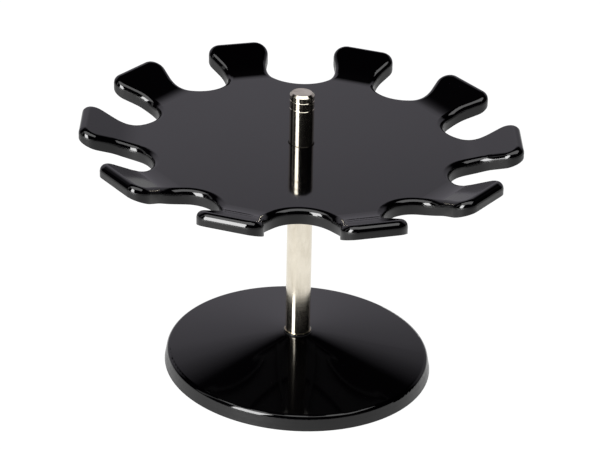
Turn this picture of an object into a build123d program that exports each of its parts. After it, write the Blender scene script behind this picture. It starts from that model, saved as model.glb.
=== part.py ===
"""Rotating desk carousel: a black scalloped ten-slot carrier that turns on a nickel-plated column.

Millimetres, +Z up. The origin is the centre of the base at table level. The carrier spins about
the column's axis; everything below the retaining ring stands still.
"""
from build123d import *
from math import cos, sin, tan, radians
import os

# ---------------------------------------------------------------- driving dimensions
# base moulding
base_radius = 55.0            # at the bottom of the rim
rim_bottom = 0.2              # the rim clears the table by this much, on its rubber feet
rim_top_radius = 53.9         # where the drafted rim would meet the cone
rim_top = 6.5
shoulder_round = 2.1
cone_top_radius = 7.6
cone_top = 14.8
lip_radius = 5.9              # small raised lip round the column
lip_top = 15.9
ring_seat_radius = 5.5         # counterbore in the lip for the foot ring
ring_seat_depth = 1.0
ring_proud = 0.12             # the ring stands this far out of the lip
base_wall = 2.4
inner_rim_radius = 52.4
boss_radius = 9.0
web_bottom = 8.4              # web the column stands on

# column
column_radius = 5.10          # lower length, the journal
column_top_radius = 4.88      # above the journal
column_foot = 11.0
column_step = 97.4
column_height = 122.6
column_chamfer = 0.9
groove_heights = (116.15, 119.65)   # two fine turned grooves near the top
groove_depth = 0.18
thread_radius = 2.5
thread_end = 25.0
fit_gap = 0.05

# parts clamped under the column
washer_thickness = 1.0
spring_thickness = 1.3
bolt_head_height = 3.0
bolt_head_radius = 5.2

# floor of the base
cover_bottom, cover_top = 0.5, 2.6
cover_radius = 52.0
cover_screw_circle = 47.0
foot_circle = 40.0
foot_radius = 5.0
foot_recess = 0.5
ballast_bottom, ballast_top = 2.9, 6.4
ballast_inner, ballast_outer = 13.0, 38.0
ballast_screw_circle = 26.0

# carrier
slot_count = 10
pitch = 360 / slot_count
plate_top = 100.84
plate_edge = 6.0              # height of the edge all round
plate_skin = 2.4
plate_wall = 2.4
edge_round = 2.5
slot_distance = 73.8          # centre of each slot's round end
slot_radius = 12.58
wide_slot_radius = 14.63      # the two opposite slots are wider
slot_taper = 0.126            # each side closes in by this much per millimetre outward
tip_distance = 87.5
tip_corner = 5.3
bend_start = 63.2             # tabs curl upward from this line
bend_radius = 23.7
bend_angle = 22.2
rib_thickness = 1.6
rib_ring_radius = 40.0
rib_lift = 1.2                # ribs stop short of the lower edge

# bearing
hub_radius = 9.6
hub_bottom = 81.2
bush_radius = 6.5
bush_top = 97.2
bush_flange = 1.2
bush_flange_radius = 8.4
top_hole_radius = 5.12
thrust_thickness = 0.9
clip_thickness = 1.0

os.makedirs("parts", exist_ok=True)


def save(piece, name):
    piece.label = name
    export_step(piece, "parts/" + name + ".step")


def cone_height(radius):
    """Height of the outer cone of the base at a radius."""
    slope = (cone_top - rim_top) / (rim_top_radius - cone_top_radius)
    return rim_top + (rim_top_radius - radius) * slope


# ---------------------------------------------------------------- base shell
inner_cone_low = cone_height(inner_rim_radius - 1.0) - base_wall
inner_cone_high = cone_height(boss_radius) - base_wall

with BuildPart() as base_shell:
    with BuildSketch(Plane.XZ):
        with BuildLine():
            Polyline(
                (inner_rim_radius, rim_bottom),
                (base_radius, rim_bottom),
                (rim_top_radius, rim_top),
                (cone_top_radius, cone_top),
                (lip_radius, cone_top + 0.25),
                (lip_radius, lip_top),
                (ring_seat_radius, lip_top),
                (ring_seat_radius, lip_top - ring_seat_depth),
                (column_radius + fit_gap, lip_top - ring_seat_depth),
                (column_radius + fit_gap, column_foot),
                (3.2, column_foot),
                (3.2, web_bottom),
                (boss_radius, web_bottom),
                (boss_radius, inner_cone_high),
                (inner_rim_radius - 1.0, inner_cone_low),
                (inner_rim_radius, inner_cone_low - 0.9),
                close=True,
            )
        make_face()
        fillet(vertices().sort_by_distance((rim_top_radius, rim_top))[0], shoulder_round)
        fillet(vertices().sort_by_distance((lip_radius, lip_top))[0], 0.3)
        fillet(vertices().sort_by_distance((base_radius, rim_bottom))[0], 0.4)
    revolve(axis=Axis.Z)
    # bosses for the ballast screws and the cover screws, each with its pilot hole
    with BuildSketch(Plane.XY.offset(ballast_top)):
        with PolarLocations(ballast_screw_circle, 3, start_angle=60):
            Circle(3.4)
    extrude(amount=cone_height(ballast_screw_circle) - base_wall + 0.8 - ballast_top)
    with BuildSketch(Plane.XY.offset(cover_top)):
        with PolarLocations(cover_screw_circle, 3):
            Circle(3.0)
    extrude(amount=cone_height(cover_screw_circle) - base_wall + 0.8 - cover_top)
    with BuildSketch(Plane.XY.offset(ballast_top)):
        with PolarLocations(ballast_screw_circle, 3, start_angle=60):
            Circle(1.3)
    extrude(amount=3.8, mode=Mode.SUBTRACT)
    with BuildSketch(Plane.XY.offset(cover_top)):
        with PolarLocations(cover_screw_circle, 3):
            Circle(1.1)
    extrude(amount=4.0, mode=Mode.SUBTRACT)
save(base_shell.part, "base_shell")

# ---------------------------------------------------------------- bottom cover, feet and screws
with BuildPart() as base_cover:
    with BuildSketch(Plane.XY.offset(cover_bottom)):
        Circle(cover_radius)
        with PolarLocations(cover_screw_circle, 3):
            Circle(1.5, mode=Mode.SUBTRACT)
    extrude(amount=cover_top - cover_bottom)
    with BuildSketch(Plane.XY.offset(cover_bottom)):
        with PolarLocations(foot_circle, 4, start_angle=45):
            Circle(foot_radius + 0.2)
    extrude(amount=foot_recess, mode=Mode.SUBTRACT)
    with BuildSketch(Plane.XY.offset(cover_bottom)):
        with PolarLocations(cover_screw_circle, 3):
            Circle(2.9)
    extrude(amount=1.3, taper=45, mode=Mode.SUBTRACT)
save(base_cover.part, "base_cover")

with BuildPart() as rubber_feet:
    with BuildSketch():
        with PolarLocations(foot_circle, 4, start_angle=45):
            Circle(foot_radius)
    extrude(amount=cover_bottom + foot_recess)
    chamfer(rubber_feet.edges().group_by(Axis.Z)[0], 0.35)
save(rubber_feet.part, "rubber_feet")

with BuildPart() as cover_screw:
    with BuildSketch(Plane.XZ):
        with BuildLine():
            Polyline((0, 0), (2.5, 0), (2.5, 0.2), (1.4, 1.3), (1.05, 1.6), (1.05, 4.9), (0, 5.6), close=True)
        make_face()
    revolve(axis=Axis.Z)
    with BuildSketch():
        Rectangle(2.6, 0.6)
        Rectangle(0.6, 2.6)
    extrude(amount=0.7, mode=Mode.SUBTRACT)

with BuildPart() as cover_screws:
    with PolarLocations(cover_screw_circle, 3):
        with Locations((0, 0, cover_bottom + 0.05)):
            add(cover_screw.part)
save(cover_screws.part, "cover_screws")

# ---------------------------------------------------------------- ballast
with BuildPart() as ballast_disc:
    with BuildSketch(Plane.XY.offset(ballast_bottom)):
        Circle(ballast_outer)
        Circle(ballast_inner, mode=Mode.SUBTRACT)
        with PolarLocations(ballast_screw_circle, 3, start_angle=60):
            Circle(1.7, mode=Mode.SUBTRACT)
    extrude(amount=ballast_top - ballast_bottom)
    with BuildSketch(Plane.XY.offset(ballast_bottom)):
        with PolarLocations(ballast_screw_circle, 3, start_angle=60):
            Circle(3.2)
    extrude(amount=1.5, taper=45, mode=Mode.SUBTRACT)
save(ballast_disc.part, "ballast_disc")

with BuildPart() as ballast_screw:
    with BuildSketch(Plane.XZ):
        with BuildLine():
            Polyline((0, 0), (2.9, 0), (2.9, 0.2), (1.5, 1.6), (1.25, 2.0), (1.25, 6.2), (0, 7.0), close=True)
        make_face()
    revolve(axis=Axis.Z)
    with BuildSketch():
        Rectangle(3.2, 0.7)
        Rectangle(0.7, 3.2)
    extrude(amount=0.8, mode=Mode.SUBTRACT)

with BuildPart() as ballast_screws:
    with PolarLocations(ballast_screw_circle, 3, start_angle=60):
        with Locations((0, 0, ballast_bottom + 0.05)):
            add(ballast_screw.part)
save(ballast_screws.part, "ballast_screws")

# ---------------------------------------------------------------- column and what clamps it
clip_bottom = hub_bottom - bush_flange - thrust_thickness - clip_thickness
with BuildPart() as column:
    with BuildSketch(Plane.XZ):
        with BuildLine():
            Polyline(
                (0, thread_end + 1.4),
                (thread_radius, thread_end),
                (thread_radius, column_foot + 0.5),
                (thread_radius + 0.5, column_foot),
                (column_radius - 0.4, column_foot),
                (column_radius, column_foot + 0.4),
                (column_radius, clip_bottom),
                (column_radius - 0.5, clip_bottom),
                (column_radius - 0.5, clip_bottom + clip_thickness + 0.1),
                (column_radius, clip_bottom + clip_thickness + 0.1),
                (column_radius, column_step),
                (column_top_radius, column_step + column_radius - column_top_radius),
                (column_top_radius, column_height - column_chamfer),
                (column_top_radius - column_chamfer, column_height),
                (0, column_height),
                close=True,
            )
        make_face()
        for height in groove_heights:
            with BuildLine():
                Polyline(
                    (column_top_radius + 0.1, height + groove_depth + 0.1),
                    (column_top_radius - groove_depth, height),
                    (column_top_radius + 0.1, height - groove_depth - 0.1),
                    close=True,
                )
            make_face(mode=Mode.SUBTRACT)
    revolve(axis=Axis.Z)
save(column.part, "column")

with BuildPart() as foot_ring:
    with BuildSketch(Plane.XY.offset(lip_top - ring_seat_depth)):
        Circle(ring_seat_radius - fit_gap)
        Circle(column_radius + fit_gap, mode=Mode.SUBTRACT)
    extrude(amount=ring_seat_depth + ring_proud)
    chamfer(foot_ring.edges().group_by(Axis.Z)[-1].sort_by(SortBy.RADIUS)[-1], 0.1)
save(foot_ring.part, "foot_ring")

with BuildPart() as plain_washer:
    with BuildSketch(Plane.XY.offset(web_bottom - washer_thickness)):
        Circle(6.2)
        Circle(3.2, mode=Mode.SUBTRACT)
    extrude(amount=washer_thickness)
save(plain_washer.part, "plain_washer")

spring_bottom = web_bottom - washer_thickness - spring_thickness
with BuildPart() as spring_washer:
    with BuildSketch(Plane.XY.offset(spring_bottom)):
        Circle(5.0)
        Circle(3.1, mode=Mode.SUBTRACT)
        with Locations((4.0, 0)):
            Rectangle(3.0, 0.7, rotation=20, mode=Mode.SUBTRACT)
    extrude(amount=spring_thickness)
save(spring_washer.part, "spring_washer")

head_bottom = spring_bottom - bolt_head_height
with BuildPart() as column_bolt:
    with BuildSketch(Plane.XY.offset(head_bottom)):
        Circle(bolt_head_radius)
    extrude(amount=bolt_head_height)
    chamfer(column_bolt.edges().group_by(Axis.Z)[0], 0.8)
    with BuildSketch(Plane.XY.offset(spring_bottom)):
        Circle(thread_radius - fit_gap)
    extrude(amount=16.0)
    chamfer(column_bolt.edges().group_by(Axis.Z)[-1], 0.5)
    with BuildSketch(Plane.XY.offset(head_bottom)):
        RegularPolygon(2.3, 6)
    extrude(amount=1.9, mode=Mode.SUBTRACT)
save(column_bolt.part, "column_bolt")

# ---------------------------------------------------------------- retaining ring and thrust washer
with BuildPart() as retaining_ring:
    with BuildSketch(Plane.XY.offset(clip_bottom + fit_gap)):
        Circle(7.0)
        with PolarLocations(6.6, 2, start_angle=-18, angular_range=36):
            Circle(1.5)
        Circle(column_radius - 0.45, mode=Mode.SUBTRACT)
        with Locations((6.5, 0)):
            Rectangle(6.0, 2.2, mode=Mode.SUBTRACT)
        with PolarLocations(6.7, 2, start_angle=-18, angular_range=36):
            Circle(0.5, mode=Mode.SUBTRACT)
    extrude(amount=clip_thickness)
save(retaining_ring.part, "retaining_ring")

with BuildPart() as thrust_washer:
    with BuildSketch(Plane.XY.offset(hub_bottom - bush_flange - thrust_thickness + fit_gap)):
        Circle(8.4)
        Circle(column_radius + fit_gap, mode=Mode.SUBTRACT)
    extrude(amount=thrust_thickness - 2 * fit_gap)
save(thrust_washer.part, "thrust_washer")

# ---------------------------------------------------------------- bearing bush in the carrier
with BuildPart() as hub_bush:
    with BuildSketch(Plane.XZ):
        with BuildLine():
            Polyline(
                (column_radius + fit_gap, hub_bottom - bush_flange),
                (bush_flange_radius, hub_bottom - bush_flange),
                (bush_flange_radius, hub_bottom),
                (bush_radius, hub_bottom),
                (bush_radius, bush_top),
                (column_radius + fit_gap, bush_top),
                close=True,
            )
        make_face()
    revolve(axis=Axis.Z)
    chamfer(hub_bush.edges().group_by(Axis.Z)[-1], 0.3)
save(hub_bush.part, "hub_bush")


# ---------------------------------------------------------------- carrier
def bent_strip(upper, drop, start, reach, width):
    """A strip along +X that curls upward from the bend line, drop thick, width across."""
    along = (reach - bend_start - bend_radius * sin(radians(bend_angle))) / cos(radians(bend_angle))
    with BuildPart() as strip:
        with BuildSketch(Plane.XZ):
            with BuildLine():
                top_flat = Line((start, upper), (bend_start, upper))
                top_arc = CenterArc((bend_start, upper + bend_radius), bend_radius, -90, bend_angle)
                top_rise = PolarLine(top_arc @ 1, along, bend_angle)
                low_flat = Line((start, upper - drop), (bend_start, upper - drop))
                low_arc = CenterArc((bend_start, upper - drop + bend_radius), bend_radius, -90, bend_angle)
                low_rise = PolarLine(low_arc @ 1, along, bend_angle)
                Line(top_rise @ 1, low_rise @ 1)
                Line(top_flat @ 0, low_flat @ 0)
            make_face()
        extrude(amount=width / 2, both=True)
    return strip.part


def star_outline(inset):
    """Plan outline of the carrier, moved inward by inset."""
    with BuildSketch() as star:
        RegularPolygon(tip_distance - inset, slot_count, major_radius=False, rotation=pitch / 2)
        for number in range(slot_count):
            wide = number % (slot_count // 2) == 0
            end = (wide_slot_radius if wide else slot_radius) + inset
            run = tip_distance + 12 - slot_distance
            with BuildSketch(mode=Mode.PRIVATE) as slot:
                with Locations((slot_distance, 0)):
                    Circle(end)
                with Locations((slot_distance + run, 0)):
                    Circle(end - run * slot_taper)
                make_hull()
            add(slot.sketch.rotate(Axis.Z, 90 + pitch * number), mode=Mode.SUBTRACT)
        tips = [v for v in star.vertices() if Vector(v.X, v.Y, 0).length > tip_distance - inset - 1.0]
        fillet(tips, tip_corner - inset)
    return star.sketch


def surface_height(point):
    """Height of the carrier's upper surface at a plan position."""
    angle = radians(90 + pitch / 2)
    reach = max(
        point.X * cos(angle + radians(pitch * n)) + point.Y * sin(angle + radians(pitch * n))
        for n in range(slot_count)
    )
    run = reach - bend_start
    if run <= 0:
        return plate_top
    bend_run = bend_radius * sin(radians(bend_angle))
    if run < bend_run:
        return plate_top + bend_radius - (bend_radius**2 - run**2) ** 0.5
    return plate_top + bend_radius * (1 - cos(radians(bend_angle))) + (run - bend_run) * tan(radians(bend_angle))


def on_upper_surface(edge):
    point = edge @ 0.5
    return abs(point.Z - surface_height(point)) < 0.02


def is_bend_line(edge):
    point = edge @ 0.5
    level = abs((edge @ 0).Z - (edge @ 1).Z) < 0.01
    return edge.geom_type == GeomType.LINE and level and Vector(point.X, point.Y, 0).length < tip_distance - 4


tab_angles = dict(start_angle=90 + pitch / 2)
slab = bent_strip(plate_top, plate_edge, 30.0, tip_distance + 6, 40.0)
hollow = bent_strip(plate_top - plate_skin, plate_edge, 30.0, tip_distance + 6, 40.0)
rib_depth = plate_edge - plate_skin - rib_lift + 0.4
rib = bent_strip(plate_top - plate_skin + 0.4, rib_depth, hub_radius - 1, tip_distance - 1, rib_thickness)

with BuildPart() as underside:
    with BuildSketch(Plane.XY.offset(plate_top - plate_skin)):
        Circle(62.4)
    extrude(amount=-plate_edge)
    with PolarLocations(0, slot_count, **tab_angles):
        add(hollow)
    extrude(star_outline(plate_wall).moved(Location((0, 0, plate_top - 15))), amount=30, mode=Mode.INTERSECT)

with BuildPart() as carousel_plate:
    with BuildSketch(Plane.XY.offset(plate_top)):
        Circle(62.4)
    extrude(amount=-plate_edge)
    with PolarLocations(0, slot_count, **tab_angles):
        add(slab)
    extrude(star_outline(0).moved(Location((0, 0, plate_top - 15))), amount=30, mode=Mode.INTERSECT)
    rim_edges = [
        e
        for e in carousel_plate.edges()
        if on_upper_surface(e) and not is_bend_line(e)
    ]
    fillet(rim_edges, edge_round)
    add(underside.part, mode=Mode.SUBTRACT)
    # stiffening ribs: one under each tab, and a ring
    with PolarLocations(0, slot_count, **tab_angles):
        add(rib)
    with BuildSketch(Plane.XY.offset(plate_top - plate_skin + 0.4)):
        Circle(rib_ring_radius + rib_thickness / 2)
        Circle(rib_ring_radius - rib_thickness / 2, mode=Mode.SUBTRACT)
    extrude(amount=-rib_depth)
    # hub
    with BuildSketch(Plane.XY.offset(plate_top - plate_skin + 0.4)):
        Circle(hub_radius)
    extrude(amount=-(plate_top - plate_skin + 0.4 - hub_bottom))
    with BuildSketch(Plane.XY.offset(hub_bottom)):
        Circle(bush_radius + fit_gap)
    extrude(amount=bush_top - hub_bottom, mode=Mode.SUBTRACT)
    with BuildSketch(Plane.XY.offset(bush_top - 1)):
        Circle(top_hole_radius)
    extrude(amount=plate_top - bush_top + 2, mode=Mode.SUBTRACT)
    hole_rim = carousel_plate.edges().filter_by(GeomType.CIRCLE).sort_by(SortBy.RADIUS)
    fillet([e for e in hole_rim if e.radius < 6 and (e @ 0).Z > plate_top - 0.01], 0.2)
save(carousel_plate.part, "carousel_plate")
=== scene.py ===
"""Studio scene of the rotating ten-slot desk carousel: glossy black mouldings on a nickel-plated column."""
from math import cos, pi, radians, sin

import bmesh
import bpy
from mathutils import Matrix, Vector

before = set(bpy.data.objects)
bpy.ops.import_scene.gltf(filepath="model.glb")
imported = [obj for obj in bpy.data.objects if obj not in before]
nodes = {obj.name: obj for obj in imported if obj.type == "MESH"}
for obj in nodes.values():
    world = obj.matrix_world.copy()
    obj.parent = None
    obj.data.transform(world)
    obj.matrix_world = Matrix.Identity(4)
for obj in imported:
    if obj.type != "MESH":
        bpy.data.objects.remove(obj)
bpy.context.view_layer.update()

scene = bpy.context.scene

# ---------------------------------------------------------------- settings
# lengths in metres, angles in degrees

# roughness of the black mouldings, on top, on their side walls and underneath
POLISH, SATIN, ROUGH = 0.06, 0.40, 0.5
WALL_SLOPE = (0.30, 0.14)          # height of the unit normal where polish turns into satin
UNDERSIDE_SLOPE = (-0.5, -0.6)     # and where satin turns into spark erosion

FLOOR_RADIUS = 12.0
FLOOR_SEGMENTS = 96
# the floor's emission paints a pool of light round the object, with painted shade beyond it
POOL_MIDDLE = (0.0, 0.17, 0.0)
POOL_EDGE = (0.30, 0.27)           # half width and half depth of the white part
POOL_FADE = (1.0, 1.8)             # where the fade starts and ends, in units of the edge
FLOOR_FAR = 0.44                   # brightness beyond the fade

LIGHT_DISTANCE = 1.3
LIGHT_AIM = Vector((0, 0, 0.08))

# brightness of the backdrop by the height of a unit direction, and its tint by how far back that points
SWEEP = [(0.0, 0.39), (0.10, 0.40), (0.42, 0.53), (0.50, 0.41), (0.62, 0.008), (1.0, 0.008)]
SWEEP_DEPTH = [(0.4, (0.01, 0.01, 0.01)), (0.66, (0.99, 0.95, 1.06))]
LIFT_SPAN, LIFT = (-0.02, -0.22), (0.0, 0.06)      # the sweep stands a little higher on the left
DIM_SPAN, DIM = (0.0, 0.24), (1.0, 0.72)           # and is dimmer on the right

CAMERA_ELEVATION, CAMERA_AZIMUTH, CAMERA_ROLL = 27.275, -0.692, 2.839
CAMERA_DISTANCE = 0.9737
CAMERA_AIM = Vector((0.00014, 0.0, 0.06393))
CAMERA_SHEAR = 0.0299              # uprights lean by this much while the level stays
FOCAL_LENGTH, SENSOR_WIDTH = 144.65, 36            # mm
CLIP_NEAR, CLIP_FAR = 0.05, 20


# ---------------------------------------------------------------- node helpers
def new_material(name):
    mat = bpy.data.materials.new(name)
    mat.use_nodes = True
    tree = mat.node_tree
    shader = tree.nodes["Principled BSDF"]
    return mat, tree, shader


def add_node(tree, kind, **values):
    """A node with its attributes and input defaults set by name."""
    node = tree.nodes.new(kind)
    for key, value in values.items():
        name = key.replace("_", " ")
        if hasattr(node, key):
            setattr(node, key, value)
        elif name in node.inputs:
            node.inputs[name].default_value = value
        else:
            raise KeyError(f"{kind} has no {key}")
    return node


def ramp(tree, source, stops):
    """A colour ramp from (place, colour) stops."""
    node = tree.nodes.new("ShaderNodeValToRGB")
    tree.links.new(source, node.inputs["Fac"])
    elements = node.color_ramp.elements
    while len(elements) < len(stops):
        elements.new(0.5)
    for element, (place, colour) in zip(elements, stops):
        element.position = place
        element.color = (*colour, 1)
    return node.outputs["Color"]


def noise(tree, coord, scale, detail, rough, distortion=0.0):
    node = add_node(
        tree, "ShaderNodeTexNoise", Scale=scale, Detail=detail, Roughness=rough, Distortion=distortion
    )
    tree.links.new(coord, node.inputs["Vector"])
    return node.outputs["Fac"]


def object_coords(tree, stretch=(1, 1, 1)):
    coords = tree.nodes.new("ShaderNodeTexCoord")
    mapping = tree.nodes.new("ShaderNodeMapping")
    mapping.inputs["Scale"].default_value = stretch
    tree.links.new(coords.outputs["Object"], mapping.inputs["Vector"])
    return mapping.outputs["Vector"]


def bump(tree, shader, height, distance, strength, below=None):
    """Feeds a bump to the shader, on top of the bump below where one is given."""
    node = add_node(tree, "ShaderNodeBump", Strength=strength, Distance=distance)
    tree.links.new(height, node.inputs["Height"])
    if below is not None:
        tree.links.new(below, node.inputs["Normal"])
    tree.links.new(node.outputs["Normal"], shader.inputs["Normal"])
    return node.outputs["Normal"]


def combine(tree, operation, first, second):
    node = add_node(tree, "ShaderNodeMath", operation=operation)
    tree.links.new(first, node.inputs[0])
    tree.links.new(second, node.inputs[1])
    return node.outputs[0]


def map_range(tree, source, span, values, smooth="LINEAR"):
    """Maps span onto values and holds the end values outside it."""
    node = add_node(tree, "ShaderNodeMapRange", interpolation_type=smooth)
    node.inputs["From Min"].default_value, node.inputs["From Max"].default_value = span
    node.inputs["To Min"].default_value, node.inputs["To Max"].default_value = values
    tree.links.new(source, node.inputs["Value"])
    return node.outputs["Result"]


def mix(tree, factor, low, high):
    """Blend of two numbers by a 0..1 signal."""
    return map_range(tree, factor, (0.0, 1.0), (low, high))


# ---------------------------------------------------------------- materials
def gloss_moulding(name, tint, ior):
    """Black styrene with faint flow marks and ripples: polished on top, satin walls, spark-eroded below."""
    mat, tree, shader = new_material(name)
    coord = object_coords(tree)
    flow = noise(tree, coord, scale=28.0, detail=4.0, rough=0.55, distortion=0.6)
    colour = ramp(tree, flow, [(0.3, tuple(0.6 * c for c in tint)), (0.75, tint)])
    tree.links.new(colour, shader.inputs["Base Color"])
    facing = tree.nodes.new("ShaderNodeNewGeometry")
    normal = tree.nodes.new("ShaderNodeSeparateXYZ")
    tree.links.new(facing.outputs["True Normal"], normal.inputs["Vector"])
    sides = map_range(tree, normal.outputs["Z"], WALL_SLOPE, (POLISH, SATIN))
    under = map_range(tree, normal.outputs["Z"], UNDERSIDE_SLOPE, (0.0, ROUGH - SATIN))
    finish = combine(tree, "ADD", sides, under)
    haze = mix(tree, noise(tree, coord, scale=90.0, detail=5.0, rough=0.6), 0.7, 1.4)
    tree.links.new(combine(tree, "MULTIPLY", finish, haze), shader.inputs["Roughness"])
    ripple = noise(tree, coord, scale=45.0, detail=2.0, rough=0.4)
    waved = bump(tree, shader, ripple, distance=0.00002, strength=0.3)
    peel = noise(tree, coord, scale=520.0, detail=1.0, rough=0.4)
    bump(tree, shader, peel, distance=0.000003, strength=0.8, below=waved)
    shader.inputs["IOR"].default_value = ior
    return mat


def turned_nickel(name):
    """Nickel plate over ground rod: near-mirror, with fine grinding rings and a few water stains."""
    mat, tree, shader = new_material(name)
    shader.inputs["Metallic"].default_value = 1.0
    rings = noise(tree, object_coords(tree, (0.05, 0.05, 1.0)), scale=2600.0, detail=3.0, rough=0.6)
    along = object_coords(tree, (1.0, 1.0, 0.3))
    stains = noise(tree, along, scale=240.0, detail=4.0, rough=0.6, distortion=0.3)
    tones = [(0.25, (0.50, 0.45, 0.36)), (0.40, (0.67, 0.615, 0.51)), (0.62, (0.765, 0.71, 0.60))]
    tree.links.new(ramp(tree, stains, tones), shader.inputs["Base Color"])
    tree.links.new(mix(tree, rings, 0.10, 0.21), shader.inputs["Roughness"])
    shader.inputs["Anisotropic"].default_value = 0.3
    shader.inputs["Anisotropic Rotation"].default_value = 0.25
    tangent = add_node(tree, "ShaderNodeTangent", direction_type="RADIAL", axis="Z")
    tree.links.new(tangent.outputs["Tangent"], shader.inputs["Tangent"])
    bump(tree, shader, stains, distance=0.00001, strength=0.12)
    return mat


def plain_metal(name, dark, light, rough, scale, stretch=(1, 1, 1)):
    """Zinc, nickel, sprung or mill-finish steel with a mottled tone and light scratches."""
    mat, tree, shader = new_material(name)
    shader.inputs["Metallic"].default_value = 1.0
    coord = object_coords(tree, stretch)
    mottle = noise(tree, coord, scale, detail=5.0, rough=0.6, distortion=0.4)
    tree.links.new(ramp(tree, mottle, [(0.3, dark), (0.7, light)]), shader.inputs["Base Color"])
    tree.links.new(mix(tree, mottle, rough * 0.7, rough * 1.3), shader.inputs["Roughness"])
    scratch = noise(tree, coord, scale * 14, detail=3.0, rough=0.6)
    bump(tree, shader, scratch, distance=0.00002, strength=0.4)
    return mat


def matt_moulding(name, dark, light, rough, grain_scale, depth):
    """Spark-eroded plastic or rubber: pebbled grain over a slightly uneven tone."""
    mat, tree, shader = new_material(name)
    coord = object_coords(tree)
    tone = noise(tree, coord, scale=60.0, detail=4.0, rough=0.6)
    tree.links.new(ramp(tree, tone, [(0.3, dark), (0.72, light)]), shader.inputs["Base Color"])
    tree.links.new(mix(tree, tone, rough * 0.85, rough * 1.1), shader.inputs["Roughness"])
    grain = noise(tree, coord, grain_scale, detail=4.0, rough=0.65)
    bump(tree, shader, grain, depth, strength=0.6)
    return mat


plate_black = gloss_moulding("plate_black", (0.0004, 0.0003, 0.0005), ior=1.49)
base_black = gloss_moulding("base_black", (0.0003, 0.0002, 0.0004), ior=1.45)
nickel = turned_nickel("column_nickel")
ring_nickel = plain_metal(
    "ring_nickel", dark=(0.62, 0.55, 0.42), light=(0.78, 0.71, 0.56), rough=0.22, scale=300.0
)
zinc = plain_metal(
    "zinc_steel", dark=(0.45, 0.46, 0.48), light=(0.66, 0.66, 0.66), rough=0.32, scale=420.0
)
spring_steel = plain_metal(
    "spring_steel", dark=(0.13, 0.13, 0.14), light=(0.26, 0.25, 0.25), rough=0.38, scale=380.0
)
mill_steel = plain_metal(
    "mill_steel", dark=(0.28, 0.28, 0.29), light=(0.42, 0.42, 0.42), rough=0.45, scale=120.0,
    stretch=(1, 0.15, 1),
)
cover_black = matt_moulding(
    "cover_black", dark=(0.012, 0.012, 0.013), light=(0.022, 0.022, 0.023), rough=0.55,
    grain_scale=1400.0, depth=0.00006,
)
foot_rubber = matt_moulding(
    "foot_rubber", dark=(0.016, 0.016, 0.016), light=(0.03, 0.029, 0.028), rough=0.8,
    grain_scale=900.0, depth=0.0001,
)
acetal = matt_moulding(
    "acetal", dark=(0.62, 0.6, 0.55), light=(0.72, 0.7, 0.65), rough=0.35,
    grain_scale=1200.0, depth=0.00002,
)

finishes = {
    "carousel_plate": plate_black,
    "hub_bush": acetal,
    "column": nickel,
    "foot_ring": ring_nickel,
    "retaining_ring": spring_steel,
    "thrust_washer": acetal,
    "base_shell": base_black,
    "base_cover": cover_black,
    "cover_screws": zinc,
    "rubber_feet": foot_rubber,
    "ballast_disc": mill_steel,
    "ballast_screws": zinc,
    "column_bolt": zinc,
    "spring_washer": spring_steel,
    "plain_washer": zinc,
}
for name, mat in finishes.items():
    mesh = nodes[name].data
    mesh.materials.clear()
    mesh.materials.append(mat)


# ---------------------------------------------------------------- studio
def direction(azimuth, elevation):
    """Unit vector; azimuth 0 points to the front (-Y) and grows to the right."""
    a, e = radians(azimuth), radians(elevation)
    return Vector((sin(a) * cos(e), -cos(a) * cos(e), sin(e)))


def soft_box(name, azimuth, elevation, width, height, strength):
    """A rectangular area light aimed at the object."""
    light = bpy.data.lights.new(name, "AREA")
    light.shape = "RECTANGLE"
    light.size, light.size_y = width, height
    light.energy = strength * width * height * pi
    lamp = bpy.data.objects.new(name, light)
    scene.collection.objects.link(lamp)
    place = direction(azimuth, elevation) * LIGHT_DISTANCE
    lamp.location = place + LIGHT_AIM
    lamp.rotation_mode = "QUATERNION"
    lamp.rotation_quaternion = place.to_track_quat("Z", "Y")


def floor_painted_light():
    """Emission paints a pool of light on the floor: white round the object, falling off to a painted pale
    grey shade in front and in the distance.
    """
    mat, tree, shader = new_material("floor_painted_light")
    shader.inputs["Base Color"].default_value = (0.02, 0.02, 0.02, 1)
    shader.inputs["Roughness"].default_value = 0.9
    from_middle = add_node(tree, "ShaderNodeVectorMath", operation="SUBTRACT")
    from_middle.inputs[1].default_value = POOL_MIDDLE
    tree.links.new(object_coords(tree), from_middle.inputs[0])
    squash = add_node(tree, "ShaderNodeVectorMath", operation="MULTIPLY")
    squash.inputs[1].default_value = (1 / POOL_EDGE[0], 1 / POOL_EDGE[1], 0.0)
    tree.links.new(from_middle.outputs[0], squash.inputs[0])
    reach = add_node(tree, "ShaderNodeVectorMath", operation="LENGTH")
    tree.links.new(squash.outputs[0], reach.inputs[0])
    # emission strength paints the pool of light and the darker shade beyond it
    pool = map_range(tree, reach.outputs["Value"], POOL_FADE, (1.0, FLOOR_FAR), "SMOOTHSTEP")
    shader.inputs["Emission Color"].default_value = (1, 1, 1, 1)
    tree.links.new(pool, shader.inputs["Emission Strength"])
    return mat


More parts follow.
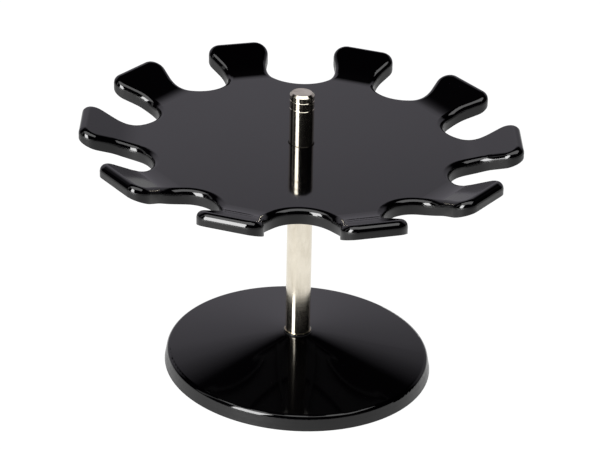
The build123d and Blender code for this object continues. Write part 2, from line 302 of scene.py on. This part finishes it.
def studio_world():
    """White sweep behind the object, dark studio on the other sides."""
    world = bpy.data.worlds.new("studio")
    world.use_nodes = True
    tree = world.node_tree
    sky = tree.nodes["Background"]
    coords = tree.nodes.new("ShaderNodeTexCoord")
    split = tree.nodes.new("ShaderNodeSeparateXYZ")
    tree.links.new(coords.outputs["Generated"], split.inputs["Vector"])
    lift = map_range(tree, split.outputs["X"], LIFT_SPAN, LIFT)
    height = combine(tree, "SUBTRACT", split.outputs["Z"], lift)
    sweep = ramp(tree, height, [(place, (value, value, value)) for place, value in SWEEP])
    behind = ramp(tree, split.outputs["Y"], SWEEP_DEPTH)
    backdrop = add_node(tree, "ShaderNodeMix", data_type="RGBA", blend_type="MULTIPLY")
    backdrop.inputs[0].default_value = 1.0
    # the mix node has sockets for every data type: 6 and 7 are its two colours, 2 its colour output
    tree.links.new(sweep, backdrop.inputs[6])
    tree.links.new(behind, backdrop.inputs[7])
    tree.links.new(backdrop.outputs[2], sky.inputs["Color"])
    tree.links.new(map_range(tree, split.outputs["X"], DIM_SPAN, DIM), sky.inputs["Strength"])
    return world


floor_mesh = bpy.data.meshes.new("floor")
shaper = bmesh.new()
bmesh.ops.create_circle(shaper, cap_ends=True, segments=FLOOR_SEGMENTS, radius=FLOOR_RADIUS)
shaper.to_mesh(floor_mesh)
shaper.free()
floor = bpy.data.objects.new("floor", floor_mesh)
scene.collection.objects.link(floor)
floor_mesh.materials.append(floor_painted_light())

soft_box("key_left", azimuth=-41, elevation=25, width=0.60, height=1.14, strength=18)
soft_box("strip_left", azimuth=-86, elevation=29, width=0.22, height=1.0, strength=0.7)
soft_box("overhead", azimuth=0, elevation=79, width=2.0, height=0.95, strength=2.6)

scene.world = studio_world()

# ---------------------------------------------------------------- camera
back = direction(CAMERA_AZIMUTH, CAMERA_ELEVATION)
level = Vector((cos(radians(CAMERA_AZIMUTH)), sin(radians(CAMERA_AZIMUTH)), 0))
upright = back.cross(level)
turn = Matrix.Rotation(radians(CAMERA_ROLL), 3, back)
side, rise = turn @ level, turn @ upright

lens = bpy.data.cameras.new("camera")
lens.lens, lens.sensor_width = FOCAL_LENGTH, SENSOR_WIDTH
lens.clip_start, lens.clip_end = CLIP_NEAR, CLIP_FAR
camera = bpy.data.objects.new("camera", lens)
scene.collection.objects.link(camera)
holder = bpy.data.objects.new("camera_mount", None)
scene.collection.objects.link(holder)
square = Matrix((side, rise, back)).transposed()
skewed = Matrix((side, rise + side * CAMERA_SHEAR, back)).transposed()
camera.location = CAMERA_AIM + back * CAMERA_DISTANCE
camera.rotation_mode = "QUATERNION"
camera.rotation_quaternion = square.to_quaternion()
camera.parent = holder
basis = Matrix.Translation(camera.location) @ square.to_4x4()
camera.matrix_parent_inverse = Matrix.Translation(camera.location) @ skewed.to_4x4() @ basis.inverted()
scene.camera = camera

scene.view_settings.view_transform = "Standard"
scene.view_settings.look = "None"
